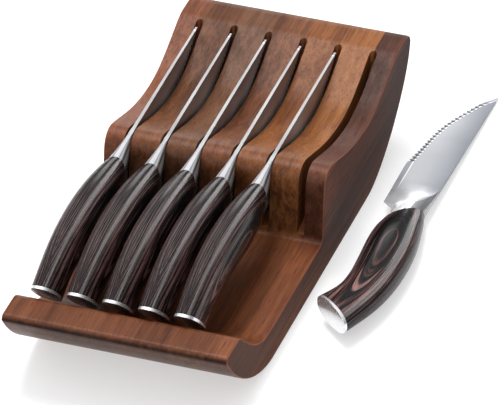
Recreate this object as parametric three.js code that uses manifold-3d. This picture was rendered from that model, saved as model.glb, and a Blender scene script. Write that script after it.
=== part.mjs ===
// Steak-knife block with six forged knives. Millimetres, +Z up.
// Origin: centre of the block's flat underside. +Y runs from the tray's lip to the blade tips,
// +X is across the block. Five knives stand in slots 1 to 5, and the sixth lies beside the block.
import * as THREE from 'three';
import { mergeVertices } from 'three/addons/utils/BufferGeometryUtils.js';
import Module from 'manifold-3d';

const wasm = await Module();
wasm.setup();

// ---- Driving dimensions: block ----
const blockWidth = 132;
const halfLength = 153;
const blockHeight = 63.7;
const footFront = -84;
const footBack = 76;
const slotCount = 6;
const slotPitch = 21;
const slotWidth = 4.4;
const trayHeight = 20.2;
const lipHeight = 48.5;
const stepY = 1;              // foot of the raised, slotted part's front face
const slotFloorFront = 23;
const slotFloorBack = 44;
const slotEndY = 129;
const cutterExtra = 2;        // how far a slot's cutter reaches past the seam
const slotFrontExtra = 4;     // and in front of the step

// ---- Driving dimensions: knife, in its own frame ----
// u runs along the spine towards the tip, v runs from the spine towards the edge,
// and u = v = 0 is where the bolster meets the handle on the spine.
const tipU = 130.8;
const spineThickness = 2.2;
const edgeThickness = 0.3;
const bolsterThickness = 13;
const bolsterReach = 26;      // how far the bolster's ridge runs out along the spine
const notchU = 2.6;           // the notch between the bolster and the heel of the blade
const notchV = 18.6;
const jointDepth = 20.6;      // height of the bolster's rear face
const jointSlant = 0.774;     // how far that face leans back per mm of v
const ridgeHalf = 4.4;        // half thickness of the bolster at its ridge
const ridgeLowU = -4;         // where the ridge tends to, low on the blade
const ridgeSweep = 7;         // depth over which the ridge sweeps back towards that
const ridgeFullV = 9;         // depth at which the ridge has its full thickness
const ridgeFadeV = 5;         // height above the notch over which the ridge dies away
const hollowLength = 25;      // length of the hollow between the ridge and the flat of the blade
const hollowPower = 2.6;      // how sharply that hollow drops behind the ridge
const tipShare = 0.6;         // share of the spine's thickness that is left at the tip
const bevelStart = 0.7;       // share of the blade's depth at which the edge bevel begins
const rearHalfLeast = 1;      // half thickness left at the spine and belly of the bolster's rear
const fitGap = 0.3;
const tang = { start: -70, end: -1, top: 4.5, bottom: 11.5, thickness: 3 };
const capPeg = { radius: 3, length: 10 };
const pegRoot = 2;            // how far the peg runs into the cap's plate

// ---- Driving dimensions: where the knives are ----
const storedKnives = 5;
const storedY = -9.3;         // the bolster joint of a stored knife
const storedZ = 60.5;
const storedTilt = THREE.MathUtils.degToRad(0.9);
const looseX = 106;
const looseY = 58;
const looseTilt = THREE.MathUtils.degToRad(2.8);

// ---- Geometry helpers ----
// Turns shape coordinates (along the block, up) into the block's frame, extruded along +X.
const sideways = new THREE.Matrix4().makeBasis(
  new THREE.Vector3(0, 1, 0),
  new THREE.Vector3(0, 0, 1),
  new THREE.Vector3(1, 0, 0),
);

function toSolid(geometry) {
  geometry.deleteAttribute('normal');
  geometry.deleteAttribute('uv');
  const merged = mergeVertices(geometry, 1e-4);
  const mesh = new wasm.Mesh({
    numProp: 3,
    vertProperties: new Float32Array(merged.attributes.position.array),
    triVerts: new Uint32Array(merged.index.array),
  });
  return new wasm.Manifold(mesh);
}

function toGeometry(solid) {
  const mesh = solid.getMesh();
  const geometry = new THREE.BufferGeometry();
  geometry.setAttribute('position', new THREE.BufferAttribute(mesh.vertProperties, 3));
  geometry.setIndex(new THREE.BufferAttribute(mesh.triVerts, 1));
  return geometry;
}

function extrudeAcross(shape, x0, x1, curveSegments) {
  const options = { depth: x1 - x0, bevelEnabled: false, curveSegments };
  const geometry = new THREE.ExtrudeGeometry(shape, options);
  geometry.applyMatrix4(sideways);
  geometry.translate(x0, 0, 0);
  return geometry;
}

// A closed body through rings of points that all have the same count, with flat ends.
function loft(rings) {
  const count = rings[0].length;
  const points = rings.flat();
  const faces = [];
  for (let i = 0; i + 1 < rings.length; i += 1) {
    for (let j = 0; j < count; j += 1) {
      const a = i * count + j;
      const b = i * count + (j + 1) % count;
      faces.push(a, b, b + count, a, b + count, a + count);
    }
  }
  const last = (rings.length - 1) * count;
  for (let j = 1; j + 1 < count; j += 1) {
    faces.push(0, j + 1, j);
    faces.push(last, last + j, last + j + 1);
  }
  const geometry = new THREE.BufferGeometry();
  geometry.setAttribute('position', new THREE.Float32BufferAttribute(points.flat(), 3));
  geometry.setIndex(faces);
  return geometry;
}

// ---- Block ----
// Side view of the block: flat foot, raised lip, tray, step, waved top and rounded rear.
function blockOutline() {
  const outline = new THREE.Shape();
  outline.moveTo(footFront, 0);
  outline.lineTo(footBack, 0);
  outline.bezierCurveTo(102, 0.5, 148, 32, halfLength, 57);
  outline.bezierCurveTo(halfLength, 61.5, 149, blockHeight, 144, blockHeight);
  outline.lineTo(135, blockHeight);
  outline.quadraticCurveTo(131, blockHeight, 128, 62.6);
  outline.bezierCurveTo(112, 57, 98, 48.4, 78, 48.2);
  outline.bezierCurveTo(50, 48.4, 32, 58.5, 18, 61.7);
  outline.bezierCurveTo(9.5, 62.3, 6.2, 57, 5.2, 50);
  outline.lineTo(1, trayHeight + 3.8);
  outline.quadraticCurveTo(0.3, trayHeight, -4, trayHeight);
  outline.lineTo(-86, trayHeight);
  outline.bezierCurveTo(-104, trayHeight, -116, 32, -130, 46.7);
  outline.quadraticCurveTo(-132.5, lipHeight, -134.5, lipHeight);
  outline.lineTo(-149, lipHeight);
  outline.quadraticCurveTo(-halfLength, lipHeight, -halfLength, 45);
  outline.bezierCurveTo(-139, 22, -112, 1.5, footFront, 0);
  return outline;
}

// Side view of the space one slot takes out of the block, open to the front and the top.
function slotOutline() {
  const above = blockHeight + 10;
  const outline = new THREE.Shape();
  outline.moveTo(stepY - slotFrontExtra, slotFloorFront);
  outline.lineTo(stepY, slotFloorFront);
  outline.lineTo(slotEndY - 14, slotFloorBack);
  outline.quadraticCurveTo(slotEndY, slotFloorBack + 2, slotEndY, blockHeight - 6);
  outline.lineTo(slotEndY, above);
  outline.lineTo(stepY - slotFrontExtra, above);
  return outline;
}

function slotX(index) {
  return (index - (slotCount - 1) / 2) * slotPitch;
}

// One glued stave. Its seams run down the middle of the slots, so it carries half of each slot.
function stave(index) {
  const firstSeam = index === 0 ? -blockWidth / 2 : slotX(index - 1);
  const lastSeam = index === slotCount ? blockWidth / 2 : slotX(index);
  let solid = toSolid(extrudeAcross(blockOutline(), firstSeam, lastSeam, 8));
  if (index > 0) {
    const cut = extrudeAcross(slotOutline(), firstSeam - cutterExtra, firstSeam + slotWidth / 2, 4);
    solid = solid.subtract(toSolid(cut));
  }
  if (index < slotCount) {
    const cut = extrudeAcross(slotOutline(), lastSeam - slotWidth / 2, lastSeam + cutterExtra, 4);
    solid = solid.subtract(toSolid(cut));
  }
  return toGeometry(solid);
}

// ---- Knife: blade, bolster and tang ----
// Stations along the blade past the bolster: [u on the spine, u on the edge, v on the edge].
const bladeStations = [
  [29, 6.5, 26.7],
  [40, 26, 27.2],
  [52, 50, 27.6],
  [65, 64, 25.9],
  [79, 79, 24],
  [93, 93, 20.9],
  [106, 106, 15.9],
  [119, 119, 9.8],
  [127, 127, 3.9],
  [tipU, tipU, 0.5],
];
const acrossSteps = [0, 0.05, 0.2, 0.45, 0.7, 0.9, 1];
const handleSquareness = 2.4;

// How far along the bolster's rear face lies, at a depth v below the spine.
function jointU(v) {
  return -jointSlant * v;
}

// The ridge where the bolster's sides end and the hollow towards the flat of the blade begins.
function ridgeU(v) {
  return ridgeLowU + (bolsterReach - ridgeLowU) * Math.exp(-v / ridgeSweep);
}

function rearHalf(v) {
  const side = Math.abs(2 * v / jointDepth - 1);
  const round = Math.pow(Math.max(0, 1 - Math.pow(side, handleSquareness)), 1 / handleSquareness);
  return Math.max(rearHalfLeast, bolsterThickness / 2 * round);
}

function bladeHalf(u, across) {
  const tip = THREE.MathUtils.mapLinear(Math.max(u, 0), 0, tipU, 1, tipShare);
  const bevel = Math.max(0, (across - bevelStart) / (1 - bevelStart));
  return THREE.MathUtils.lerp(spineThickness / 2 * tip, edgeThickness / 2, bevel);
}

function halfThickness(u, v, across) {
  const flat = bladeHalf(u, across);
  const ridge = THREE.MathUtils.lerp(flat, ridgeHalf, THREE.MathUtils.smoothstep(v, 0, ridgeFullV));
  const low = THREE.MathUtils.smoothstep(v, notchV - ridgeFadeV, notchV);
  const swelling = THREE.MathUtils.lerp(ridge, flat, low);
  const run = (u - jointU(v)) / (ridgeU(v) - jointU(v));
  if (run < 1) return THREE.MathUtils.lerp(rearHalf(v), swelling, Math.max(0, run));
  const past = THREE.MathUtils.clamp((u - ridgeU(v)) / hollowLength, 0, 1);
  return THREE.MathUtils.lerp(flat, swelling, Math.pow(1 - past, hollowPower));
}

function bladeRing(spineU, edgeU, edgeV) {
  const right = [];
  const left = [];
  for (const across of acrossSteps) {
    const u = THREE.MathUtils.lerp(spineU, edgeU, across);
    const v = edgeV * across;
    const half = halfThickness(u, v, across);
    right.push([half, u, -v]);
    left.unshift([-half, u, -v]);
  }
  return [...right, ...left];
}

function bladeWithTang() {
  const rings = [];
  for (const run of [0, 0.2, 0.4, 0.6, 0.8, 1]) {
    const edgeU = THREE.MathUtils.lerp(jointU(jointDepth), notchU, run);
    const edgeV = THREE.MathUtils.lerp(jointDepth, notchV, run);
    rings.push(bladeRing(bolsterReach * run, edgeU, edgeV));
  }
  for (const [spineU, edgeU, edgeV] of bladeStations) {
    rings.push(bladeRing(spineU, edgeU, edgeV));
  }
  const bar = new THREE.BoxGeometry(tang.thickness, tang.end - tang.start, tang.bottom - tang.top);
  bar.translate(0, (tang.start + tang.end) / 2, -(tang.top + tang.bottom) / 2);
  return toGeometry(toSolid(loft(rings)).add(toSolid(bar)));
}

// ---- Knife: handle and end cap ----
const handleSpine = new THREE.SplineCurve([
  new THREE.Vector2(0, 0),
  new THREE.Vector2(-11, -3),
  new THREE.Vector2(-33, -7),
  new THREE.Vector2(-55, -8.4),
  new THREE.Vector2(-78, -7.2),
  new THREE.Vector2(-98, -3.2),
  new THREE.Vector2(-121.5, 4.8),
]);
const handleBelly = new THREE.SplineCurve([
  new THREE.Vector2(jointU(jointDepth), jointDepth),
  new THREE.Vector2(-24, 21.9),
  new THREE.Vector2(-37, 22),
  new THREE.Vector2(-56, 20.6),
  new THREE.Vector2(-74, 20),
  new THREE.Vector2(-87, 22),
  new THREE.Vector2(-100, 28.8),
]);
const handleThickness = new THREE.SplineCurve([
  new THREE.Vector2(0, bolsterThickness),
  new THREE.Vector2(0.3, 17.8),
  new THREE.Vector2(0.5, 19),
  new THREE.Vector2(0.75, 17),
  new THREE.Vector2(1, 15),
]);
const handleSides = 16;
const handleSteps = 11;
const capStart = 0.975;       // share of the handle's curves where the steel cap begins
const frontGapShare = 0.006;  // shares that leave about fitGap at the bolster and at the cap
const rearGapShare = 0.0025;

// One oval section, at a share of the handle's length from the bolster to the butt.
function handleRing(share) {
  const top = handleSpine.getPoint(share);
  const bottom = handleBelly.getPoint(share);
  const half = handleThickness.getPoint(share).y / 2;
  const ring = [];
  for (let i = 0; i < handleSides; i += 1) {
    const angle = (i / handleSides) * 2 * Math.PI;
    const side = Math.sign(Math.cos(angle)) * Math.abs(Math.cos(angle)) ** (2 / handleSquareness);
    const rise = Math.sign(Math.sin(angle)) * Math.abs(Math.sin(angle)) ** (2 / handleSquareness);
    const across = (1 - rise) / 2;
    const u = THREE.MathUtils.lerp(top.x, bottom.x, across);
    const v = THREE.MathUtils.lerp(top.y, bottom.y, across);
    ring.push([-half * side, u, -v]);
  }
  return ring;
}

function handleRings(from, to, steps) {
  const rings = [];
  for (let i = 0; i <= steps; i += 1) {
    rings.push(handleRing(THREE.MathUtils.lerp(from, to, i / steps)));
  }
  return rings.reverse();
}

// The cap's peg, or the hole for it with a clearance all round.
function capPegSolid(clearance) {
  const top = handleSpine.getPoint(capStart);
  const bottom = handleBelly.getPoint(capStart);
  const length = capPeg.length + clearance;
  const radius = capPeg.radius + clearance;
  const peg = new THREE.CylinderGeometry(radius, radius, length + pegRoot, 10);
  peg.translate(0, (length - pegRoot) / 2, 0);
  peg.rotateX(Math.atan2(bottom.x - top.x, bottom.y - top.y));
  peg.translate(0, (top.x + bottom.x) / 2, -(top.y + bottom.y) / 2);
  return toSolid(peg);
}

function handle() {
  const mouth = 10;           // opens the tang's hole through the front of the handle
  const body = toSolid(loft(handleRings(frontGapShare, capStart - rearGapShare, handleSteps)));
  const width = tang.thickness + 2 * fitGap;
  const height = tang.bottom - tang.top + 2 * fitGap;
  const length = tang.end - tang.start + mouth;
  const bore = new THREE.BoxGeometry(width, length, height);
  bore.translate(0, (tang.start + tang.end + mouth) / 2 - fitGap, -(tang.top + tang.bottom) / 2);
  return toGeometry(body.subtract(toSolid(bore)).subtract(capPegSolid(fitGap)));
}

function cap() {
  const plate = toSolid(loft(handleRings(capStart, 1, 1)));
  return toGeometry(plate.add(capPegSolid(0)));
}

// ---- Assembly ----
function material(colour, roughness, metalness) {
  return new THREE.MeshStandardMaterial({ color: colour, roughness, metalness });
}

function part(name, geometry, finish) {
  const mesh = new THREE.Mesh(geometry, finish);
  mesh.name = name;
  return mesh;
}

function knife(number) {
  const group = new THREE.Group();
  group.add(part(`knife_${number}_blade`, bladeWithTang(), material(0xb9bcc2, 0.25, 1)));
  group.add(part(`knife_${number}_handle`, handle(), material(0x35302f, 0.3, 0)));
  group.add(part(`knife_${number}_cap`, cap(), material(0xd0d2d6, 0.15, 1)));
  return group;
}

const assembly = new THREE.Group();
const staveColours = [0x6b4032, 0x714534, 0x5c4543, 0x4a342f, 0x8a5636, 0x8f5a38, 0x4c3530];
for (let i = 0; i <= slotCount; i += 1) {
  assembly.add(part(`stave_${i + 1}`, stave(i), material(staveColours[i], 0.4, 0)));
}

for (let i = 0; i < storedKnives; i += 1) {
  const stored = knife(i + 1);
  stored.position.set(slotX(i), storedY, storedZ);
  stored.rotation.x = storedTilt;
  assembly.add(stored);
}

// The loose knife rests on its handle's side and its tip, spine away from the block.
const loose = knife(slotCount);
loose.rotation.set(-looseTilt, Math.PI / 2, 0);
loose.position.set(looseX, looseY, 0);
loose.updateMatrixWorld(true);
loose.position.z = -new THREE.Box3().setFromObject(loose, true).min.z;
assembly.add(loose);

export default assembly;
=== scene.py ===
"""Looks of the steak-knife block: wooden staves, forged knives, studio floor, light and camera."""
import math
import random

import bmesh
import bpy
from mathutils import Matrix, Vector


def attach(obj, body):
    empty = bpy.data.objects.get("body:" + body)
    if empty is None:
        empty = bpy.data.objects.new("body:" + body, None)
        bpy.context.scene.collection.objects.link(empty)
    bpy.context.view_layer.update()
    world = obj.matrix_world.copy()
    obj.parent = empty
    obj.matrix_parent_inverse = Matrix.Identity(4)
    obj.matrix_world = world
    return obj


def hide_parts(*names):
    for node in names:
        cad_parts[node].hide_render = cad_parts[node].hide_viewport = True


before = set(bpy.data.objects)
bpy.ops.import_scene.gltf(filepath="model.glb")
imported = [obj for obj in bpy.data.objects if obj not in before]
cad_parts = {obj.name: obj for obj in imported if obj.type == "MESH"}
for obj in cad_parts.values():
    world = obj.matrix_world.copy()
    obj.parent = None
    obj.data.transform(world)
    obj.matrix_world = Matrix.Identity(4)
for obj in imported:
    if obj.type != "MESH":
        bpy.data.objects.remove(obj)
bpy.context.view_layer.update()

MM = 0.001

# ---- Block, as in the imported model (millimetres) ----
BLOCK_HALF_WIDTH = 66.0
HALF_LENGTH = 153.0
BLOCK_HEIGHT = 63.7
FOOT_FRONT = -84.0
FOOT_BACK = 76.0
TRAY_HEIGHT = 20.2
LIP_HEIGHT = 48.5
SLOT_COUNT = 6
SLOT_PITCH = 21.0
SLOT_HALF_WIDTH = 2.2
SLOT_FRONT_Y = 1.0
SLOT_END_Y = 129.0
SLOT_FLOOR_FRONT = 23.0
SLOT_FLOOR_BACK = 44.0
SLOT_RISE_Y = 115.0  # where the floor of a slot starts to curve up
SLOT_RISE = 13.7
SLOT_RISE_POWER = 2.6
SLOT_CUTTER_TOP = 75.0
SLOT_CUTTER_LEAD = 6.0
SIDE_ROUNDING = 0.9
SLOT_ROUNDING = 0.35

# ---- Knife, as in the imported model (millimetres) ----
# u runs along the spine to the tip, v from the spine to the edge, x across the blade.
TIP_U = 130.8
BLADE_HALF = 1.1
JOINT_DEPTH = 20.6
JOINT_LEAN = 0.3
JOINT_SWEEP = 0.023
BOLSTER_REACH = 26.0
NOTCH_U = 2.6
NOTCH_V = 18.6
HEEL_U = 6.5
HEEL_V = 26.7
RIDGE_HALF = 4.9
RIDGE_LOW_U = -4.0
RIDGE_FALL = 7.0  # depth over which the ridge sweeps most of its way back
HANDLE_SQUARENESS = 2.4
REAR_HALF = 6.5
PLUNGE_SPINE_U = 38.0
PLUNGE_EDGE_U = 22.0
BEVEL_DEPTH = 3.2
EDGE_HALF = 0.12
SERRATION_START = 50.0
SERRATION_END = 126.0
SERRATION_PITCH = 3.1
SERRATION_DEPTH = 2.2
CAP_START = 0.975
STORED_KNIVES = 5
STORED_Y = -9.3
STORED_Z = 60.5
STORED_TILT = math.radians(0.9)
LOOSE_X = 106.0
LOOSE_Y = 58.0
LOOSE_TILT = math.radians(2.8)
INSET = 0.9945  # keeps the smooth handle inside the faceted one


# ---- Curves ----
def lerp(a, b, t):
    return a + (b - a) * t


def clamp(value, low=0.0, high=1.0):
    return max(low, min(high, value))


def bezier(points, steps):
    """Points along a quadratic or cubic Bezier curve, without its first point."""
    result = []
    for i in range(1, steps + 1):
        t = i / steps
        level = [Vector(p) for p in points]
        while len(level) > 1:
            level = [a.lerp(b, t) for a, b in zip(level, level[1:])]
        result.append(level[0])
    return result


def spline(points, share):
    """A point on a Catmull-Rom curve, with share running evenly from knot to knot."""
    place = clamp(share) * (len(points) - 1)
    i = min(int(place), len(points) - 2)
    t = place - i
    p0 = Vector(points[max(i - 1, 0)])
    p1 = Vector(points[i])
    p2 = Vector(points[i + 1])
    p3 = Vector(points[min(i + 2, len(points) - 1)])
    v0 = (p2 - p0) / 2
    v1 = (p3 - p1) / 2
    return (2 * p1 - 2 * p2 + v0 + v1) * t**3 + (-3 * p1 + 3 * p2 - 2 * v0 - v1) * t**2 + v0 * t + p1


def interpolate(points, x):
    """y at x on a polyline of (x, y) points with rising x."""
    for (x0, y0), (x1, y1) in zip(points, points[1:]):
        if x <= x1:
            return lerp(y0, y1, clamp((x - x0) / (x1 - x0)))
    return points[-1][1]


# ---- Meshes ----
def new_object(name, vertices, faces):
    mesh = bpy.data.meshes.new(name)
    mesh.from_pydata([Vector(v) * MM for v in vertices], [], faces)
    obj = bpy.data.objects.new(name, mesh)
    bpy.context.scene.collection.objects.link(obj)
    return obj


def loft(name, rings):
    """A closed body through rings of points, with flat ends."""
    count = len(rings[0])
    vertices = [p for ring in rings for p in ring]
    faces = [tuple(reversed(range(count)))]
    for i in range(len(rings) - 1):
        for j in range(count):
            a = i * count + j
            b = i * count + (j + 1) % count
            faces.append((a, b, b + count, a + count))
    last = (len(rings) - 1) * count
    faces.append(tuple(range(last, last + count)))
    return new_object(name, vertices, faces)


def outward(obj):
    bm = bmesh.new()
    bm.from_mesh(obj.data)
    bmesh.ops.recalc_face_normals(bm, faces=bm.faces)
    bm.to_mesh(obj.data)
    bm.free()


def smooth(obj, angle):
    obj.data.shade_smooth()
    obj.data.set_sharp_from_angle(angle=math.radians(angle))


def weigh_normals(obj):
    modifier = obj.modifiers.new("weighted_normal", "WEIGHTED_NORMAL")
    modifier.keep_sharp = True
    modifier.weight = 80


def finish_piece(obj, material, body, slot, *nodes):
    obj.data.materials.clear()
    obj.data.materials.append(material)
    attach(obj, body)
    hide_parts(*nodes)


# ---- Material building blocks ----
class Local:
    """The frame of a placed knife, for materials that follow its own axes."""

    def __init__(self, placement):
        self.location = placement.to_translation()
        self.rotation = placement.to_euler("XYZ")


class Nodes:
    """Adds shader nodes to one material with few words."""

    def __init__(self, name, local=None):
        self.local = local
        self.material = bpy.data.materials.new(name)
        self.material.use_nodes = True
        self.tree = self.material.node_tree
        self.shader = self.tree.nodes["Principled BSDF"]

    def link(self, source, target):
        self.tree.links.new(source, target)

    def add(self, kind, **values):
        node = self.tree.nodes.new(kind)
        for key, value in values.items():
            setattr(node, key, value)
        return node

    def place(self):
        """Positions in the block's frame, or in the knife's own frame."""
        position = self.add("ShaderNodeTexCoord").outputs["Object"]
        if self.local is None:
            return position
        undo = self.add("ShaderNodeMapping", vector_type="TEXTURE")
        undo.inputs["Location"].default_value = self.local.location
        undo.inputs["Rotation"].default_value = self.local.rotation
        self.link(position, undo.inputs["Vector"])
        return undo.outputs["Vector"]

    def axis(self, name):
        split = self.add("ShaderNodeSeparateXYZ")
        self.link(self.place(), split.inputs[0])
        return split.outputs[name]

    def coordinates(self, scale, offset=(0, 0, 0)):
        mapping = self.add("ShaderNodeMapping")
        mapping.inputs["Scale"].default_value = scale
        mapping.inputs["Location"].default_value = offset
        self.link(self.place(), mapping.inputs["Vector"])
        return mapping.outputs["Vector"]

    def noise(self, vector, scale=1.0, detail=3.0, roughness=0.5, distortion=0.0):
        node = self.add("ShaderNodeTexNoise")
        node.inputs["Scale"].default_value = scale
        node.inputs["Detail"].default_value = detail
        node.inputs["Roughness"].default_value = roughness
        node.inputs["Distortion"].default_value = distortion
        self.link(vector, node.inputs["Vector"])
        return node.outputs["Fac"]

    def math(self, operation, a, b=None, use_clamp=False):
        node = self.add("ShaderNodeMath", operation=operation, use_clamp=use_clamp)
        for socket, value in zip(node.inputs, (a, b)):
            if value is None:
                continue
            if isinstance(value, (int, float)):
                socket.default_value = value
            else:
                self.link(value, socket)
        return node.outputs[0]

    def range(self, value, low, high, to_low=0.0, to_high=1.0):
        node = self.add("ShaderNodeMapRange")
        limits = {"From Min": low, "From Max": high, "To Min": to_low, "To Max": to_high}
        for name, number in limits.items():
            node.inputs[name].default_value = number
        self.link(value, node.inputs["Value"])
        return node.outputs["Result"]

    def ramp(self, value, stops):
        node = self.add("ShaderNodeValToRGB")
        elements = node.color_ramp.elements
        while len(elements) < len(stops):
            elements.new(0.5)
        for element, (position, colour) in zip(elements, stops):
            element.position = position
            element.color = (*colour, 1.0)
        self.link(value, node.inputs["Fac"])
        return node.outputs["Color"]

    def mix(self, factor, a, b, blend="MIX"):
        node = self.add("ShaderNodeMix", data_type="RGBA", blend_type=blend)
        sockets = (node.inputs["Factor"], node.inputs[6], node.inputs[7])
        for socket, value in zip(sockets, (factor, a, b)):
            if isinstance(value, (int, float)):
                socket.default_value = value
            elif isinstance(value, tuple):
                socket.default_value = (*value, 1.0)
            else:
                self.link(value, socket)
        return node.outputs[2]

    def bump(self, height, distance, strength):
        node = self.add("ShaderNodeBump")
        node.inputs["Distance"].default_value = distance
        node.inputs["Strength"].default_value = strength
        self.link(height, node.inputs["Height"])
        return node.outputs["Normal"]

    def normal_part(self, axis):
        """How much the surface faces along one axis of the block's frame, either way."""
        geometry = self.add("ShaderNodeNewGeometry")
        split = self.add("ShaderNodeSeparateXYZ")
        self.link(geometry.outputs["Normal"], split.inputs[0])
        return self.math("ABSOLUTE", split.outputs[axis])


BLACK_TO_WHITE = ((0.0, (0, 0, 0)), (1.0, (1, 1, 1)))


def shade(colour, factor):
    return tuple(channel * factor for channel in colour)


def noise_offset(seed):
    """Where one piece's grain starts, so that no two pieces look alike."""
    rng = random.Random(seed)
    return tuple(rng.uniform(-5, 5) for _ in range(3))


# ---- Wood of the block ----
FRONT_WOOD = ((0.195, 0.065, 0.027), (0.07, 0.021, 0.009))
FRONT_SHARES = (1.0, 0.86, 0.72, 0.95, 0.84, 0.74, 1.18)  # how light each stave is in the lip and tray
# The light and the dark tone of each stave's raised part.
STAVE_TONES = (
    ((0.2, 0.07, 0.033), (0.075, 0.023, 0.012)),
    ((0.192, 0.077, 0.035), (0.072, 0.026, 0.012)),
    ((0.156, 0.069, 0.036), (0.058, 0.024, 0.013)),
    ((0.2, 0.077, 0.035), (0.075, 0.026, 0.013)),
    ((0.24, 0.09, 0.032), (0.095, 0.03, 0.011)),
    ((0.29, 0.112, 0.038), (0.12, 0.04, 0.014)),
    ((0.11, 0.042, 0.027), (0.041, 0.0155, 0.0098)),
)
STAVE_WOODS = (
    "walnut", "walnut", "grey_walnut", "dark_walnut", "light_walnut", "light_walnut", "dark_walnut",
)
# How strongly painted shade darkens the lip's front, from its foot to its top edge:
# a painted light line, then a painted dark reflection band just under the top edge.
NOSE_SHADE_BANDS = ((0.0, 0.35), (0.6, 0.6), (0.74, 0.1), (0.79, 0.85), (0.88, 0.8), (0.94, 0.0))
PAINTED_SHADE_TINT = (0.12, 0.11, 0.125)  # what painted shade multiplies the wood's colour by
WOOD_SEED = 11


def grain_colour(n, tone, light, dark):
    middle = tuple(lerp(a, b, 0.55) for a, b in zip(dark, light))
    return n.ramp(tone, ((0.36, dark), (0.5, middle), (0.65, light)))


def end_grain_colour(n, offset, light, dark):
    """Mottled end grain, for faces across the fibres."""
    mottle = n.noise(n.coordinates((230, 60, 120), offset), 1.0, 4.0, 0.75)
    return n.mix(n.range(mottle, 0.4, 0.64), shade(dark, 0.45), shade(light, 0.72))


def painted_shade_share(n):
    """How much painted shade darkens the block's sides, more towards the front, and the rounded front of
    its lip.
    """
    along = n.axis("Y")
    sides = n.math("MULTIPLY", n.range(n.normal_part("X"), 0.8, 0.98), n.range(along, 0.03, -0.14))
    nose = n.math("MULTIPLY", n.range(n.normal_part("Y"), 0.35, 0.8), n.range(along, -0.13, -0.142))
    height = n.range(n.axis("Z"), 0.02, 0.05)
    band = n.ramp(height, [(place, (tone,) * 3) for place, tone in NOSE_SHADE_BANDS])
    return n.math("ADD", n.math("MULTIPLY", sides, 0.7), n.math("MULTIPLY", nose, band), True)


def edge_highlight_share(n):
    """How much a point lies on an eased edge, where a painted highlight makes the wood lighter."""
    facing = n.normal_part("X")
    edge = n.math("MULTIPLY", n.range(facing, 0.2, 0.45), n.range(facing, 0.97, 0.85))
    return n.math("MULTIPLY", edge, 0.5)


def wood_material(name, light, dark, front_share, seed):
    """Satin-varnished wood with its fibres along Y, painted shade and painted edge highlights. A stave's
    own tone shows in its raised part.
    """
    offset = noise_offset(seed)
    n = Nodes(name)
    figure = n.noise(n.coordinates((30, 4, 30), offset), 1.0, 3.0, 0.55, 0.8)
    streaks = n.noise(n.coordinates((330, 10, 330), offset), 1.0, 4.0, 0.6, 0.3)
    fibres = n.noise(n.coordinates((1100, 34, 1100), offset), 1.0, 3.0, 0.65)
    pores = n.noise(n.coordinates((1500, 80, 1500), offset), 1.0, 1.0, 0.5)
    tone = n.math("ADD", n.math("MULTIPLY", figure, 0.6), n.math("MULTIPLY", streaks, 0.4))
    rear = n.range(n.axis("Y"), -0.012, 0.03)
    front_tones = [shade(tone_end, front_share) for tone_end in FRONT_WOOD]
    colour = n.mix(rear, grain_colour(n, tone, *front_tones), grain_colour(n, tone, light, dark))
    fine = n.range(fibres, 0.3, 0.72, 0.7, 1.25)
    colour = n.mix(1.0, colour, n.ramp(fine, BLACK_TO_WHITE), "MULTIPLY")
    pore_mask = n.range(pores, 0.6, 0.72)
    colour = n.mix(n.math("MULTIPLY", pore_mask, 0.5), colour, shade(dark, 0.3))
    end_share = n.math("MULTIPLY", n.range(n.normal_part("Y"), 0.5, 0.95), 0.72)
    colour = n.mix(end_share, colour, end_grain_colour(n, offset, light, dark))
    # Painted shade on the block's sides and the lip's front, with a painted reflection band there.
    colour = n.mix(painted_shade_share(n), colour, n.mix(1.0, colour, PAINTED_SHADE_TINT, "MULTIPLY"))
    # Painted highlight along the eased edges.
    colour = n.mix(edge_highlight_share(n), colour, shade(light, 2.2))
    n.link(colour, n.shader.inputs["Base Color"])
    roughness = n.range(n.math("ADD", fibres, n.math("MULTIPLY", pore_mask, 0.4)), 0.3, 1.0, 0.34, 0.5)
    dull = n.math("MULTIPLY", n.range(n.normal_part("X"), 0.8, 0.98), 0.42)
    n.link(n.math("ADD", roughness, dull), n.shader.inputs["Roughness"])
    n.shader.inputs["Coat Weight"].default_value = 0.1
    n.shader.inputs["Coat Roughness"].default_value = 0.22
    n.shader.inputs["Specular IOR Level"].default_value = 0.05
    height = n.math("SUBTRACT", fibres, n.math("MULTIPLY", pore_mask, 0.8))
    n.link(n.bump(height, 0.00012, 0.5), n.shader.inputs["Normal"])
    return n.material


# ---- Block staves ----
def block_outline(steps=16):
    """Side view of the block as (y, z) points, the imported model's outline drawn finer."""
    path = [Vector((FOOT_FRONT, 0)), Vector((FOOT_BACK, 0))]

    def curve(*controls):
        path.extend(bezier([path[-1], *controls], steps))

    def line(y, z):
        path.append(Vector((y, z)))

    curve((102, 0.5), (148, 32), (HALF_LENGTH, 57))
    curve((HALF_LENGTH, 61.5), (149, BLOCK_HEIGHT), (144, BLOCK_HEIGHT))
    line(135, BLOCK_HEIGHT)
    curve((131, BLOCK_HEIGHT), (128, 62.6))
    curve((112, 57), (98, 48.4), (78, 48.2))
    curve((50, 48.4), (32, 58.5), (18, 61.7))
    curve((9.5, 62.3), (6.2, 57), (5.2, 50))
    line(1, TRAY_HEIGHT + 3.8)
    curve((0.3, TRAY_HEIGHT), (-4, TRAY_HEIGHT))
    line(-86, TRAY_HEIGHT)
    curve((-104, TRAY_HEIGHT), (-116, 32), (-130, 46.7))
    curve((-132.5, LIP_HEIGHT), (-134.5, LIP_HEIGHT))
    line(-149, LIP_HEIGHT)
    curve((-HALF_LENGTH, LIP_HEIGHT), (-HALF_LENGTH, 45))
    curve((-139, 22), (-112, 1.5), (FOOT_FRONT, 0))
    path.pop()
    return path


def slot_x(index):
    return (index - (SLOT_COUNT - 1) / 2) * SLOT_PITCH


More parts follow.
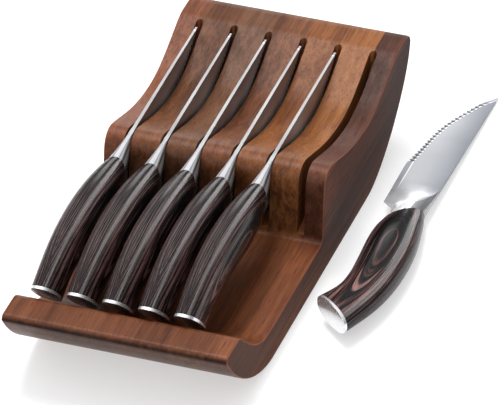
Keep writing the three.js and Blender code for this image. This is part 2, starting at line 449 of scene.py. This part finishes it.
def slot_cutter(seam, side):
    """Half of a routed slot with a round rear end, on one side of a seam between staves."""
    rings = []
    round_y = SLOT_END_Y - SLOT_HALF_WIDTH
    stations = [SLOT_FRONT_Y - SLOT_CUTTER_LEAD, SLOT_FRONT_Y, 40, 80, SLOT_RISE_Y]
    stations += [round_y - (round_y - SLOT_RISE_Y) * (1 - i / 12) ** 1.5 for i in range(1, 12)]
    stations += [SLOT_END_Y - SLOT_HALF_WIDTH * (1 - math.sin(math.radians(a))) for a in range(0, 91, 10)]
    for y in stations:
        run = clamp((y - SLOT_FRONT_Y) / (SLOT_RISE_Y - SLOT_FRONT_Y))
        floor = lerp(SLOT_FLOOR_FRONT, SLOT_FLOOR_BACK, run)
        rise = clamp((y - SLOT_RISE_Y) / (SLOT_END_Y - SLOT_RISE_Y))
        floor += SLOT_RISE * rise**SLOT_RISE_POWER
        beyond = clamp((y - round_y) / SLOT_HALF_WIDTH)
        half = SLOT_HALF_WIDTH * math.sqrt(1 - beyond * beyond)
        inner = seam - side
        outer = seam + side * half
        top = SLOT_CUTTER_TOP
        rings.append([(inner, y, floor), (outer, y, floor), (outer, y, top), (inner, y, top)])
    cutter = loft("slot_cutter", rings)
    outward(cutter)
    return cutter


def ease(bm, edges, radius, segments):
    bmesh.ops.bevel(
        bm, geom=edges, offset=radius * MM, segments=segments, profile=0.5, affect="EDGES",
        clamp_overlap=True,
    )


def round_edges(obj, seams):
    """Eases the sharp edges of a stave, but not where it is glued to its neighbours."""
    def lies_on(x, plane):
        return abs(x - plane * MM) < 1e-6

    def glued(vertex):
        return any(lies_on(vertex.co.x, seam) for seam in seams)

    def sharp(edge):
        return len(edge.link_faces) == 2 and edge.calc_face_angle(0) > math.radians(40)

    bm = bmesh.new()
    bm.from_mesh(obj.data)
    bmesh.ops.remove_doubles(bm, verts=bm.verts, dist=2e-6)
    free = [e for e in bm.edges if sharp(e) and not all(glued(v) for v in e.verts)]
    sides = [e for e in free if all(lies_on(abs(v.co.x), BLOCK_HALF_WIDTH) for v in e.verts)]
    rims = [e for e in free if e not in sides and not any(glued(v) for v in e.verts)]
    ease(bm, sides, SIDE_ROUNDING, 3)
    ease(bm, [e for e in rims if e.is_valid], SLOT_ROUNDING, 2)
    bm.to_mesh(obj.data)
    bm.free()


def stave(index):
    seams = []
    low = -BLOCK_HALF_WIDTH
    high = BLOCK_HALF_WIDTH
    cutters = []
    name = f"stave_{index + 1}"
    if index > 0:
        low = slot_x(index - 1)
        seams.append(low)
        cutters.append(slot_cutter(low, 1))
    if index < SLOT_COUNT:
        high = slot_x(index)
        seams.append(high)
        cutters.append(slot_cutter(high, -1))
    outline = block_outline()
    rings = [[(x, p.x, p.y) for p in outline] for x in (low, high)]
    body = loft(name + "_body", rings)
    outward(body)
    for cutter in cutters:
        cut = body.modifiers.new("cut", "BOOLEAN")
        cut.operation = "DIFFERENCE"
        cut.solver = "EXACT"
        cut.object = cutter
    shape = bpy.data.meshes.new_from_object(body.evaluated_get(bpy.context.evaluated_depsgraph_get()))
    obj = bpy.data.objects.new(name + "_wood", shape)
    bpy.context.scene.collection.objects.link(obj)
    for extra in (body, *cutters):
        bpy.data.objects.remove(extra, do_unlink=True)
    round_edges(obj, seams)
    smooth(obj, 50)
    weigh_normals(obj)
    seed = WOOD_SEED + index
    material = wood_material(name + "_grain", *STAVE_TONES[index], FRONT_SHARES[index], seed)
    finish_piece(obj, material, "block", STAVE_WOODS[index], name)
    return obj


# ---- Knife blade with bolster ----
# The cutting edge from heel to tip, as (u, v) points.
EDGE_LINE = ((HEEL_U, HEEL_V), (26, 27.2), (50, 27.6), (64, 25.9), (79, 24), (93, 20.9), (106, 15.9),
             (119, 9.8), (127, 3.9), (TIP_U, 0.15))
# Where the points of a section lie: between spine and notch, down to the bevel, and on the bevel.
UPPER_SHARES = (0, 0.004, 0.012, 0.03, 0.06, 0.11, 0.18, 0.27, 0.38, 0.5, 0.62, 0.74, 0.85, 0.93, 0.98, 1)
LOWER_SHARES = (0.15, 0.45, 0.75, 1.0)
BEVEL_SHARES = (0.35, 0.7, 1.0)
# Where the sections of the hollow lie, close together beside the ridge.
PLUNGE_SHARES = (0.002, 0.02, 0.05, 0.09, 0.14, 0.2, 0.28, 0.37, 0.48, 0.6, 0.73, 0.87)
BOLSTER_STEPS = 12
PLAIN_STEPS = 12
SERRATED_STEPS = 210


def smoothstep(value, low, high):
    t = clamp((value - low) / (high - low))
    return t * t * (3 - 2 * t)


def joint_u(v):
    """Where the bolster's rear face lies along the knife, at a depth v below the spine."""
    return -JOINT_LEAN * v - JOINT_SWEEP * v * v


def ridge_u(v):
    """The bolster's crisp ridge, then the rear end of the blade's heel below the notch."""
    ridge = RIDGE_LOW_U + (BOLSTER_REACH - RIDGE_LOW_U) * math.exp(-v / RIDGE_FALL)
    heel = lerp(NOTCH_U, HEEL_U, clamp((v - NOTCH_V) / (HEEL_V - NOTCH_V)) ** 0.8)
    return lerp(ridge, heel, smoothstep(v, NOTCH_V - 2.4, NOTCH_V))


def plunge_u(v):
    """Where the hollow beside the ridge has run out into the flat of the blade."""
    return lerp(PLUNGE_SPINE_U, PLUNGE_EDGE_U, v / HEEL_V)


EDGE_SAMPLES = [tuple(spline(EDGE_LINE, i / 90)) for i in range(91)]


def edge_depth(u):
    """Depth of the plain cutting edge below the spine, smoothed between the outline's points."""
    return interpolate(EDGE_SAMPLES, u)


def tooth(u):
    """How far the serration's hollows cut back from the edge at u."""
    if not SERRATION_START < u < SERRATION_END:
        return 0.0
    place = (u - SERRATION_START) / SERRATION_PITCH
    hollow = math.sin(math.pi * (place % 1.0)) ** 0.8
    fade = clamp((u - SERRATION_START) / 2) * clamp((SERRATION_END - u) / 14)
    return SERRATION_DEPTH * hollow * fade


def rear_half(v):
    """Half thickness where the bolster meets the handle, the same oval as the handle's."""
    side = abs(2 * v / JOINT_DEPTH - 1)
    return REAR_HALF * max(0.0, 1 - side**HANDLE_SQUARENESS) ** (1 / HANDLE_SQUARENESS)


def ridge_half(v, flat):
    """Half thickness along the ridge: thin on the spine, full on the sides, thin at the notch."""
    swelling = lerp(flat, RIDGE_HALF, smoothstep(v, -1, 9))
    return lerp(swelling, flat, smoothstep(v, 9, 25))


def flat_half(u, v, depth, bevel):
    """Half thickness of the ground blade: a long taper, then the bevel beside the edge."""
    along = lerp(1.0, 0.6, clamp(u / TIP_U))
    taper = lerp(BLADE_HALF, BLADE_HALF * 0.78, clamp(v / max(depth - bevel, 0.1)))
    edge = clamp((depth - v) / bevel)
    return along * lerp(EDGE_HALF, taper, edge)


def ring(points):
    """A closed section from (half, u, v) points that run from the spine to the edge."""
    right = [(half, u, -v) for half, u, v in points]
    left = [(-half, u, -v) for half, u, v in reversed(points)]
    return right + left


def bolster_ring(run):
    """A section of the bolster, from its joint with the handle (0) to its ridge (1)."""
    depth = lerp(JOINT_DEPTH, NOTCH_V, run)
    points = []
    for share in UPPER_SHARES:
        v = share * depth
        rear = max(rear_half(share * JOINT_DEPTH), 0.3)
        half = lerp(rear, ridge_half(v, flat_half(0, v, HEEL_V, BEVEL_DEPTH)), run)
        points.append((half, lerp(joint_u(v), ridge_u(v), run), v))
    points += [points[-1]] * (len(LOWER_SHARES) + len(BEVEL_SHARES))
    return ring(points)


def blade_levels(depth, bevel, cut):
    """Depths of one section's points below the spine."""
    split = min(NOTCH_V, 0.69 * depth)
    levels = [share * split for share in UPPER_SHARES]
    levels += [lerp(split, depth - bevel, share) for share in LOWER_SHARES]
    levels += [lerp(depth - bevel, depth - cut, share) for share in BEVEL_SHARES]
    return levels


def plunge_ring(run):
    """A section of the hollow between the ridge (0) and the flat of the blade (1)."""
    depth = edge_depth(lerp(HEEL_U, PLUNGE_EDGE_U, run))
    points = []
    for v in blade_levels(depth, BEVEL_DEPTH, 0.0):
        u = lerp(ridge_u(v), plunge_u(v), run)
        flat = flat_half(u, v, depth, BEVEL_DEPTH)
        ridge = max(ridge_half(v, flat), flat)
        points.append((lerp(flat, ridge, (1 - run) ** 4), u, v))
    return ring(points)


def blade_ring(spine_u, edge_u, depth, cut):
    """A section of the ground blade, whose edge is cut back by a tooth's hollow."""
    bevel = min(BEVEL_DEPTH, 0.25 * depth)
    points = []
    for v in blade_levels(depth, bevel, cut):
        u = lerp(spine_u, edge_u, clamp(v / depth))
        points.append((flat_half(u, v, depth, bevel), u, v))
    return ring(points)


def blade_rings():
    """Sections from the handle's joint to the tip: bolster, hollow, plain edge, serrated edge."""
    rings = [bolster_ring(i / BOLSTER_STEPS) for i in range(BOLSTER_STEPS + 1)]
    rings += [plunge_ring(run) for run in PLUNGE_SHARES]
    for i in range(PLAIN_STEPS + 1):
        run = i / PLAIN_STEPS
        edge_u = lerp(PLUNGE_EDGE_U, SERRATION_START, run)
        spine_u = lerp(PLUNGE_SPINE_U, SERRATION_START + 4, run)
        rings.append(blade_ring(spine_u, edge_u, edge_depth(edge_u), 0.0))
    for i in range(1, SERRATED_STEPS + 1):
        edge_u = lerp(SERRATION_START, TIP_U - 0.3, i / SERRATED_STEPS)
        spine_u = lerp(edge_u + 4, edge_u, clamp(i / 60))
        depth = max(edge_depth(edge_u), 0.35)
        rings.append(blade_ring(spine_u, edge_u, depth, min(tooth(edge_u), 0.24 * depth)))
    return rings


def blade(name):
    obj = loft(name, blade_rings())
    bm = bmesh.new()
    bm.from_mesh(obj.data)
    bmesh.ops.remove_doubles(bm, verts=bm.verts, dist=1e-6)
    bmesh.ops.dissolve_degenerate(bm, edges=bm.edges, dist=1e-6)
    bm.to_mesh(obj.data)
    bm.free()
    outward(obj)
    smooth(obj, 22)
    return obj


# ---- Knife handle and cap ----
# The handle's top and belly as (u, v) points, and its thickness as (share of its length, x).
HANDLE_SPINE = ((0, 0), (-11, -3), (-33, -7), (-55, -8.4), (-78, -7.2), (-98, -3.2), (-121.5, 4.8))
HANDLE_BELLY = ((joint_u(JOINT_DEPTH), JOINT_DEPTH), (-24, 21.9), (-37, 22), (-56, 20.6), (-74, 20),
                (-87, 22), (-100, 28.8))
HANDLE_THICKNESS = ((0, 13), (0.3, 17.8), (0.5, 19), (0.75, 17), (1, 15))
HANDLE_SIDES = 48
HANDLE_STEPS = 70
BOW_SHARE = 0.25  # share of the handle over which its curved front straightens out


def handle_ring(share, scale=1.0):
    """The handle's oval section, at a share of the way from its bolster to its butt."""
    top = spline(HANDLE_SPINE, share)
    bottom = spline(HANDLE_BELLY, share)
    half = spline(HANDLE_THICKNESS, share).y / 2
    bow = JOINT_SWEEP * JOINT_DEPTH**2 * max(0, 1 - share / BOW_SHARE) ** 2
    section = []
    for i in range(HANDLE_SIDES):
        angle = 2 * math.pi * i / HANDLE_SIDES
        side = math.copysign(abs(math.cos(angle)) ** (2 / HANDLE_SQUARENESS), math.cos(angle))
        rise = math.copysign(abs(math.sin(angle)) ** (2 / HANDLE_SQUARENESS), math.sin(angle))
        across = (1 - rise * scale * INSET) / 2
        p = top.lerp(bottom, across)
        section.append((-half * side * scale * INSET, p.x + bow * across * (1 - across), -p.y))
    return section


def handle(name):
    low = 0.0012
    high = CAP_START - 0.0006
    rings = [handle_ring(lerp(low, high, i / HANDLE_STEPS)) for i in range(HANDLE_STEPS + 1)]
    obj = loft(name, rings)
    outward(obj)
    smooth(obj, 35)
    return obj


def cap(name):
    rings = [
        handle_ring(CAP_START, 0.985),
        handle_ring(CAP_START + 0.0015, 1.0),
        handle_ring(0.9955, 1.0),
        handle_ring(0.9985, 0.985),
        handle_ring(1.0, 0.93),
    ]
    obj = loft(name, rings)
    outward(obj)
    smooth(obj, 20)
    return obj


# ---- Knife materials ----
def edge_distance(n):
    """How far a point of the blade lies inside its cutting edge, in metres."""
    reach = 30 * MM
    stops = [(u / TIP_U, (v * MM / reach,) * 3) for u, v in EDGE_LINE]
    line = n.ramp(n.range(n.axis("Y"), 0.0, TIP_U * MM), stops)
    return n.math("ADD", n.math("MULTIPLY", line, reach), n.axis("Z"))


def serration_shade(n, inside):
    """Painted shade, dark where the hollows of the serration are ground into the bevel."""
    along = n.math("SUBTRACT", n.axis("Y"), SERRATION_START * MM)
    wave = n.math("SINE", n.math("MULTIPLY", along, math.pi / (SERRATION_PITCH * MM)))
    hollow = n.math("MULTIPLY", n.math("ABSOLUTE", wave), 4.2 * MM)
    ground = n.range(n.math("SUBTRACT", hollow, inside), -0.3 * MM, 0.5 * MM)
    reach = n.math("MULTIPLY", n.range(along, 0.0, 1.5 * MM), n.range(n.axis("Y"), 0.127, 0.12))
    return n.math("MULTIPLY", ground, reach)


# The stored knives get painted reflections of the wood around them; the loose one, of the pale studio.
# tone and spine are painted shade on the blade, bands painted reflections down the bolster,
# turn painted reflections from its top to its side, and end a painted dark reflection on the cap's end.
STORED_LOOK = {
    "metallic": 1.0,
    "tone": 1.0,
    "spine": (0.67, 0.655, 0.63),
    "bands": (
        (0, 0.6), (0.04, 0.6), (0.08, 0.1), (0.13, 0.85), (0.24, 0.7), (0.33, 0.14), (0.55, 0.05),
        (1, 0.4),
    ),
    "turn": (
        (0, 1.0), (0.14, 1.0), (0.3, 0.42), (0.42, 0.6), (0.55, 1.1), (0.7, 0.5), (0.85, 0.3),
        (1, 0.55),
    ),
    "end": 0.85,
}
LOOSE_LOOK = {
    "metallic": 0.7,
    "tone": 0.78,
    "spine": (0.45, 0.465, 0.5),
    "bands": ((0, 0.3), (0.12, 0.22), (0.3, 0.45), (0.45, 0.8), (1, 0.62)),
    "turn": ((0, 1.0), (1, 1.0)),
    "end": 0.0,
}


def bolster_painted_reflections(n, bands, turn):
    """Painted reflections: soft light and dark bands down the bolster's polished sides, and around its
    turn.
    """
    depth = n.range(n.axis("Z"), 0.0, -JOINT_DEPTH * MM)
    down = n.ramp(depth, [(place, (tone, tone, tone * 1.03)) for place, tone in bands])
    around = n.ramp(n.normal_part("X"), [(place, (tone,) * 3) for place, tone in turn])
    return n.mix(1.0, down, around, "MULTIPLY")


def blade_material(name, seed, local, look):
    """Satin-ground steel with fine cross lines, a ground edge and a polished bolster, and painted shade and
    reflections.
    """
    offset = noise_offset(seed)
    n = Nodes(name, local)
    grind = n.noise(n.coordinates((60, 5200, 90), offset), 1.0, 2.0, 0.6)
    cloud = n.noise(n.coordinates((40, 30, 40), offset), 1.0, 2.0, 0.5)
    on_blade = n.range(n.axis("Y"), 0.012, 0.03)
    satin = n.range(n.math("ADD", grind, cloud), 0.6, 1.4, 0.24, 0.4)
    roughness = n.math("ADD", n.math("MULTIPLY", satin, on_blade), n.math("MULTIPLY", cloud, 0.3))
    n.link(roughness, n.shader.inputs["Roughness"])
    # Painted shade: the tone darkens the loose knife's blade.
    dull = shade((0.54, 0.55, 0.575), look["tone"])
    bright = shade((0.66, 0.665, 0.685), look["tone"])
    colour = n.mix(n.range(cloud, 0.3, 0.7), dull, bright)
    # Painted shade: the spine tint is full at the spine and fades out 22 mm below it.
    below = n.range(n.axis("Z"), -0.001, -0.022)
    colour = n.mix(below, n.mix(1.0, colour, look["spine"], "MULTIPLY"), colour)
    inside = edge_distance(n)
    # Painted reflection: a darker bevel beside the edge, and a painted highlight line just above it.
    bevel = n.range(inside, 3.4 * MM, 3.0 * MM)
    bevel_rim_highlight = n.math("MULTIPLY", n.range(inside, 4.0 * MM, 3.6 * MM), n.range(inside, 3.2 * MM, 3.4 * MM))
    colour = n.mix(n.math("MULTIPLY", bevel, on_blade), colour, (0.34, 0.36, 0.4))
    colour = n.mix(n.math("MULTIPLY", bevel_rim_highlight, on_blade), colour, (0.95, 0.95, 0.96))
    # Painted shade in the hollows of the serration.
    colour = n.mix(n.math("MULTIPLY", serration_shade(n, inside), 0.92), colour, (0.015, 0.016, 0.018))
    # Painted reflections on the bolster.
    colour = n.mix(on_blade, bolster_painted_reflections(n, look["bands"], look["turn"]), colour)
    n.link(colour, n.shader.inputs["Base Color"])
    n.link(n.range(on_blade, 0.0, 1.0, 0.5, look["metallic"]), n.shader.inputs["Metallic"])
    height = n.math("MULTIPLY", grind, on_blade)
    n.link(n.bump(height, 0.00003, 0.35), n.shader.inputs["Normal"])
    return n.material


def cap_material(name, seed, local, look):
    """Polished steel with faint wear, with a painted dark reflection on the end that faces the lip."""
    offset = noise_offset(seed)
    n = Nodes(name, local)
    wear = n.noise(n.coordinates((300, 900, 300), offset), 1.0, 3.0, 0.6)
    n.link(n.range(wear, 0.3, 0.75, 0.16, 0.3), n.shader.inputs["Roughness"])
    colour = n.mix(wear, (0.72, 0.72, 0.735), (0.82, 0.82, 0.83))
    # Painted dark reflection on the cap's end, for the stored knives only.
    end = n.math("MULTIPLY", n.range(n.normal_part("Y"), 0.55, 0.68), look["end"])
    n.link(n.mix(end, colour, (0.03, 0.03, 0.032)), n.shader.inputs["Base Color"])
    n.shader.inputs["Metallic"].default_value = 0.75
    n.link(n.bump(wear, 0.000004, 0.15), n.shader.inputs["Normal"])
    return n.material


# The dyed layers of the handle, as its top and its sides show them.
CHAR = (0.0055, 0.005, 0.0055)
SMOKE = (0.02, 0.0165, 0.017)
GREY = (0.125, 0.1, 0.098)
RED = (0.26, 0.135, 0.123)
DULL_RED = (0.072, 0.033, 0.031)
SPINE_LAYERS = (
    (0.3, SMOKE), (0.36, GREY), (0.41, SMOKE), (0.46, CHAR), (0.52, CHAR), (0.56, DULL_RED),
    (0.6, GREY), (0.64, SMOKE), (0.7, CHAR),
)
FLANK_LAYERS = (
    (0.3, DULL_RED), (0.36, RED), (0.41, DULL_RED), (0.45, CHAR), (0.53, CHAR), (0.56, SMOKE),
    (0.6, RED), (0.64, DULL_RED), (0.7, CHAR),
)


def handle_material(name, seed, local):
    """Laminated, dyed wood: thin layers across the handle, cut into loops by its curved sides."""
    offset = noise_offset(seed)
    n = Nodes(name, local)
    warp = n.noise(n.coordinates((40, 9, 30), offset), 1.0, 2.0, 0.5)
    across = n.math("ABSOLUTE", n.axis("X"))
    bow = n.math("POWER", n.math("ADD", n.axis("Y"), 0.058), 2)
    middle = n.math("ADD", n.math("MULTIPLY", bow, 2.0), 0.006)
    offside = n.math("POWER", n.math("ADD", n.axis("Z"), middle), 2)
    depth = n.math("SUBTRACT", across, n.math("MULTIPLY", offside, 28))
    depth = n.math("ADD", n.math("MULTIPLY", depth, 720), n.math("MULTIPLY", warp, 3.4))
    layers = n.add("ShaderNodeCombineXYZ")
    n.link(depth, layers.inputs["X"])
    n.link(n.math("MULTIPLY", n.axis("Y"), 6), layers.inputs["Y"])
    layer = n.noise(layers.outputs[0], 1.15, 2.5, 0.62)
    colour = n.mix(n.range(across, 0.0045, 0.008), n.ramp(layer, SPINE_LAYERS), n.ramp(layer, FLANK_LAYERS))
    fibres = n.noise(n.coordinates((1300, 40, 1300), offset), 1.0, 3.0, 0.6)
    streak = n.ramp(n.range(fibres, 0.3, 0.7, 0.5, 1.1), BLACK_TO_WHITE)
    colour = n.mix(1.0, colour, streak, "MULTIPLY")
    n.link(colour, n.shader.inputs["Base Color"])
    n.link(n.range(fibres, 0.3, 0.7, 0.24, 0.34), n.shader.inputs["Roughness"])
    n.shader.inputs["Specular IOR Level"].default_value = 0.05
    n.shader.inputs["Coat Weight"].default_value = 0.3
    n.shader.inputs["Coat Roughness"].default_value = 0.17
    n.link(n.bump(fibres, 0.00005, 0.3), n.shader.inputs["Normal"])
    return n.material


# ---- Knives ----
HANDLE_SEED = 40
CAP_SEED = 80


def knife(number, placement):
    """The blade, the handle and the cap of one knife, in that order."""
    body = f"knife_{number}"
    local = Local(placement)
    look = STORED_LOOK if number <= STORED_KNIVES else LOOSE_LOOK
    steel = blade_material(f"{body}_steel", number, local, look)
    laminate = handle_material(f"{body}_laminate", HANDLE_SEED + number, local)
    polish = cap_material(f"{body}_polish", CAP_SEED + number, local, look)
    pieces = (
        (blade(f"{body}_forged_blade"), steel, "blade_steel", "blade"),
        (handle(f"{body}_grip"), laminate, "handle_wood", "handle"),
        (cap(f"{body}_end_cap"), polish, "cap_steel", "cap"),
    )
    for obj, material, slot, node in pieces:
        obj.data.transform(placement)
        finish_piece(obj, material, body, slot, f"{body}_{node}")
    return [piece[0] for piece in pieces]


def stored_placement(number):
    place = Vector((slot_x(number - 1), STORED_Y, STORED_Z)) * MM
    return Matrix.Translation(place) @ Matrix.Rotation(STORED_TILT, 4, "X")


def loose_placement():
    """Lying on the floor on the side of its handle and its tip, spine away from the block."""
    turn = Matrix.Rotation(-LOOSE_TILT, 4, "X") @ Matrix.Rotation(math.pi / 2, 4, "Y")
    outline = [p for i in range(101) for p in handle_ring(i / 100)] + blade_rings()[-1]
    rise = -min((turn @ (Vector(p) * MM)).z for p in outline)
    return Matrix.Translation(Vector((LOOSE_X * MM, LOOSE_Y * MM, rise))) @ turn


# ---- Studio (lights and camera in metres) ----
LIGHT_TARGET = Vector((0, 0, 0.03))
KEY_PLACE = (-0.3, 0.4, 1.5)
KEY_SIZE = (0.55, 1.1)
KEY_POWER = 26
SKY_DIRECTION = (-0.32, -0.3, 0.9)  # where the sky is brightest
SKY_STRENGTH = 1.15
FLOOR_HALF = 3000.0  # in millimetres, like every mesh


def studio_floor():
    half = FLOOR_HALF
    corners = [(-half, -half, 0), (half, -half, 0), (half, half, 0), (-half, half, 0)]
    floor = new_object("studio_floor", corners, [(0, 1, 2, 3)])
    n = Nodes("pale_floor")
    n.shader.inputs["Base Color"].default_value = (0.54, 0.54, 0.545, 1)
    n.shader.inputs["Emission Color"].default_value = (1, 1, 1, 1)
    n.shader.inputs["Emission Strength"].default_value = 0.5
    n.shader.inputs["Roughness"].default_value = 0.85
    n.shader.inputs["Specular IOR Level"].default_value = 0.1
    floor.data.materials.append(n.material)
    return floor


def area_light(name, location, size, power, along=(0, 0, 1)):
    """A soft box that faces the object, with its second size lying along a given direction."""
    data = bpy.data.lights.new(name, "AREA")
    data.shape = "RECTANGLE"
    data.size, data.size_y = size
    data.energy = power
    light = bpy.data.objects.new(name, data)
    back = (Vector(location) - LIGHT_TARGET).normalized()
    right = Vector(along).cross(back).normalized()
    axes = Matrix((right, back.cross(right), back)).transposed()
    light.matrix_world = Matrix.Translation(location) @ axes.to_4x4()
    bpy.context.scene.collection.objects.link(light)
    return light


def highlight_only(light, pieces):
    """Lets a light show only as a reflection, and only in some of the pieces."""
    light.visible_diffuse = False
    receivers = bpy.data.collections.new(light.name + "_receivers")
    for piece in pieces:
        receivers.objects.link(piece)
    light.light_linking.receiver_collection = receivers


def studio_sky():
    """A sky that is white overhead and at the front left, and dark at the rear right."""
    world = bpy.data.worlds.new("studio")
    bpy.context.scene.world = world
    world.use_nodes = True
    tree = world.node_tree
    direction = tree.nodes.new("ShaderNodeTexCoord")
    lean = tree.nodes.new("ShaderNodeVectorMath")
    lean.operation = "DOT_PRODUCT"
    lean.inputs[1].default_value = SKY_DIRECTION
    ramp = tree.nodes.new("ShaderNodeValToRGB")
    dark, bright = ramp.color_ramp.elements
    dark.color = (0.16, 0.165, 0.18, 1)
    bright.color = (1.0, 1.0, 1.0, 1)
    bright.position = 0.75
    background = tree.nodes["Background"]
    background.inputs["Strength"].default_value = SKY_STRENGTH
    tree.links.new(direction.outputs["Generated"], lean.inputs[0])
    tree.links.new(lean.outputs["Value"], ramp.inputs["Fac"])
    tree.links.new(ramp.outputs["Color"], background.inputs["Color"])


def studio_light(grips, others):
    """A broad key from the left, two fill lights, and lights that show only as reflections."""
    area_light("key", KEY_PLACE, KEY_SIZE, KEY_POWER).visible_glossy = False
    area_light("back", (-0.5, 1.5, 0.5), (0.3, 0.7), 2.2)
    area_light("strip", (-0.5, -1.3, 0.9), (0.25, 1.4), 2.5)
    highlight_only(area_light("sheen", KEY_PLACE, KEY_SIZE, KEY_POWER), others)
    grip_band = area_light("grip_band", (0.5, 0.6, 0.8), (0.45, 2.4), 24, (0.52, -1.06, 0.9))
    highlight_only(grip_band, grips)
    bpy.context.scene.view_settings.view_transform = "Standard"


CAMERA_TARGET = Vector((0.0191, 0.0109, 0.0306))
CAMERA_AZIMUTH = math.radians(21.14)
CAMERA_ELEVATION = math.radians(35.87)
CAMERA_ROLL = math.radians(-2.0)
CAMERA_DISTANCE = 4.487
CAMERA_LENS = 576


def camera():
    data = bpy.data.cameras.new("camera")
    data.lens = CAMERA_LENS
    data.sensor_width = 36
    data.clip_end = 50
    obj = bpy.data.objects.new("camera", data)
    back = Vector((
        math.sin(CAMERA_AZIMUTH) * math.cos(CAMERA_ELEVATION),
        -math.cos(CAMERA_AZIMUTH) * math.cos(CAMERA_ELEVATION),
        math.sin(CAMERA_ELEVATION),
    ))
    right = Vector((math.cos(CAMERA_AZIMUTH), math.sin(CAMERA_AZIMUTH), 0))
    up = back.cross(right)
    axes = Matrix((right, up, back)).transposed() @ Matrix.Rotation(CAMERA_ROLL, 3, "Z")
    obj.matrix_world = Matrix.Translation(CAMERA_TARGET + back * CAMERA_DISTANCE) @ axes.to_4x4()
    bpy.context.scene.collection.objects.link(obj)
    bpy.context.scene.camera = obj


camera()
floor = studio_floor()
staves = [stave(index) for index in range(SLOT_COUNT + 1)]
placements = [stored_placement(number) for number in range(1, STORED_KNIVES + 1)]
placements.append(loose_placement())
knives = [knife(number, placement) for number, placement in enumerate(placements, 1)]
blades, grips, caps = zip(*knives)
studio_sky()
studio_light(grips, (floor, *staves, *blades, *caps))
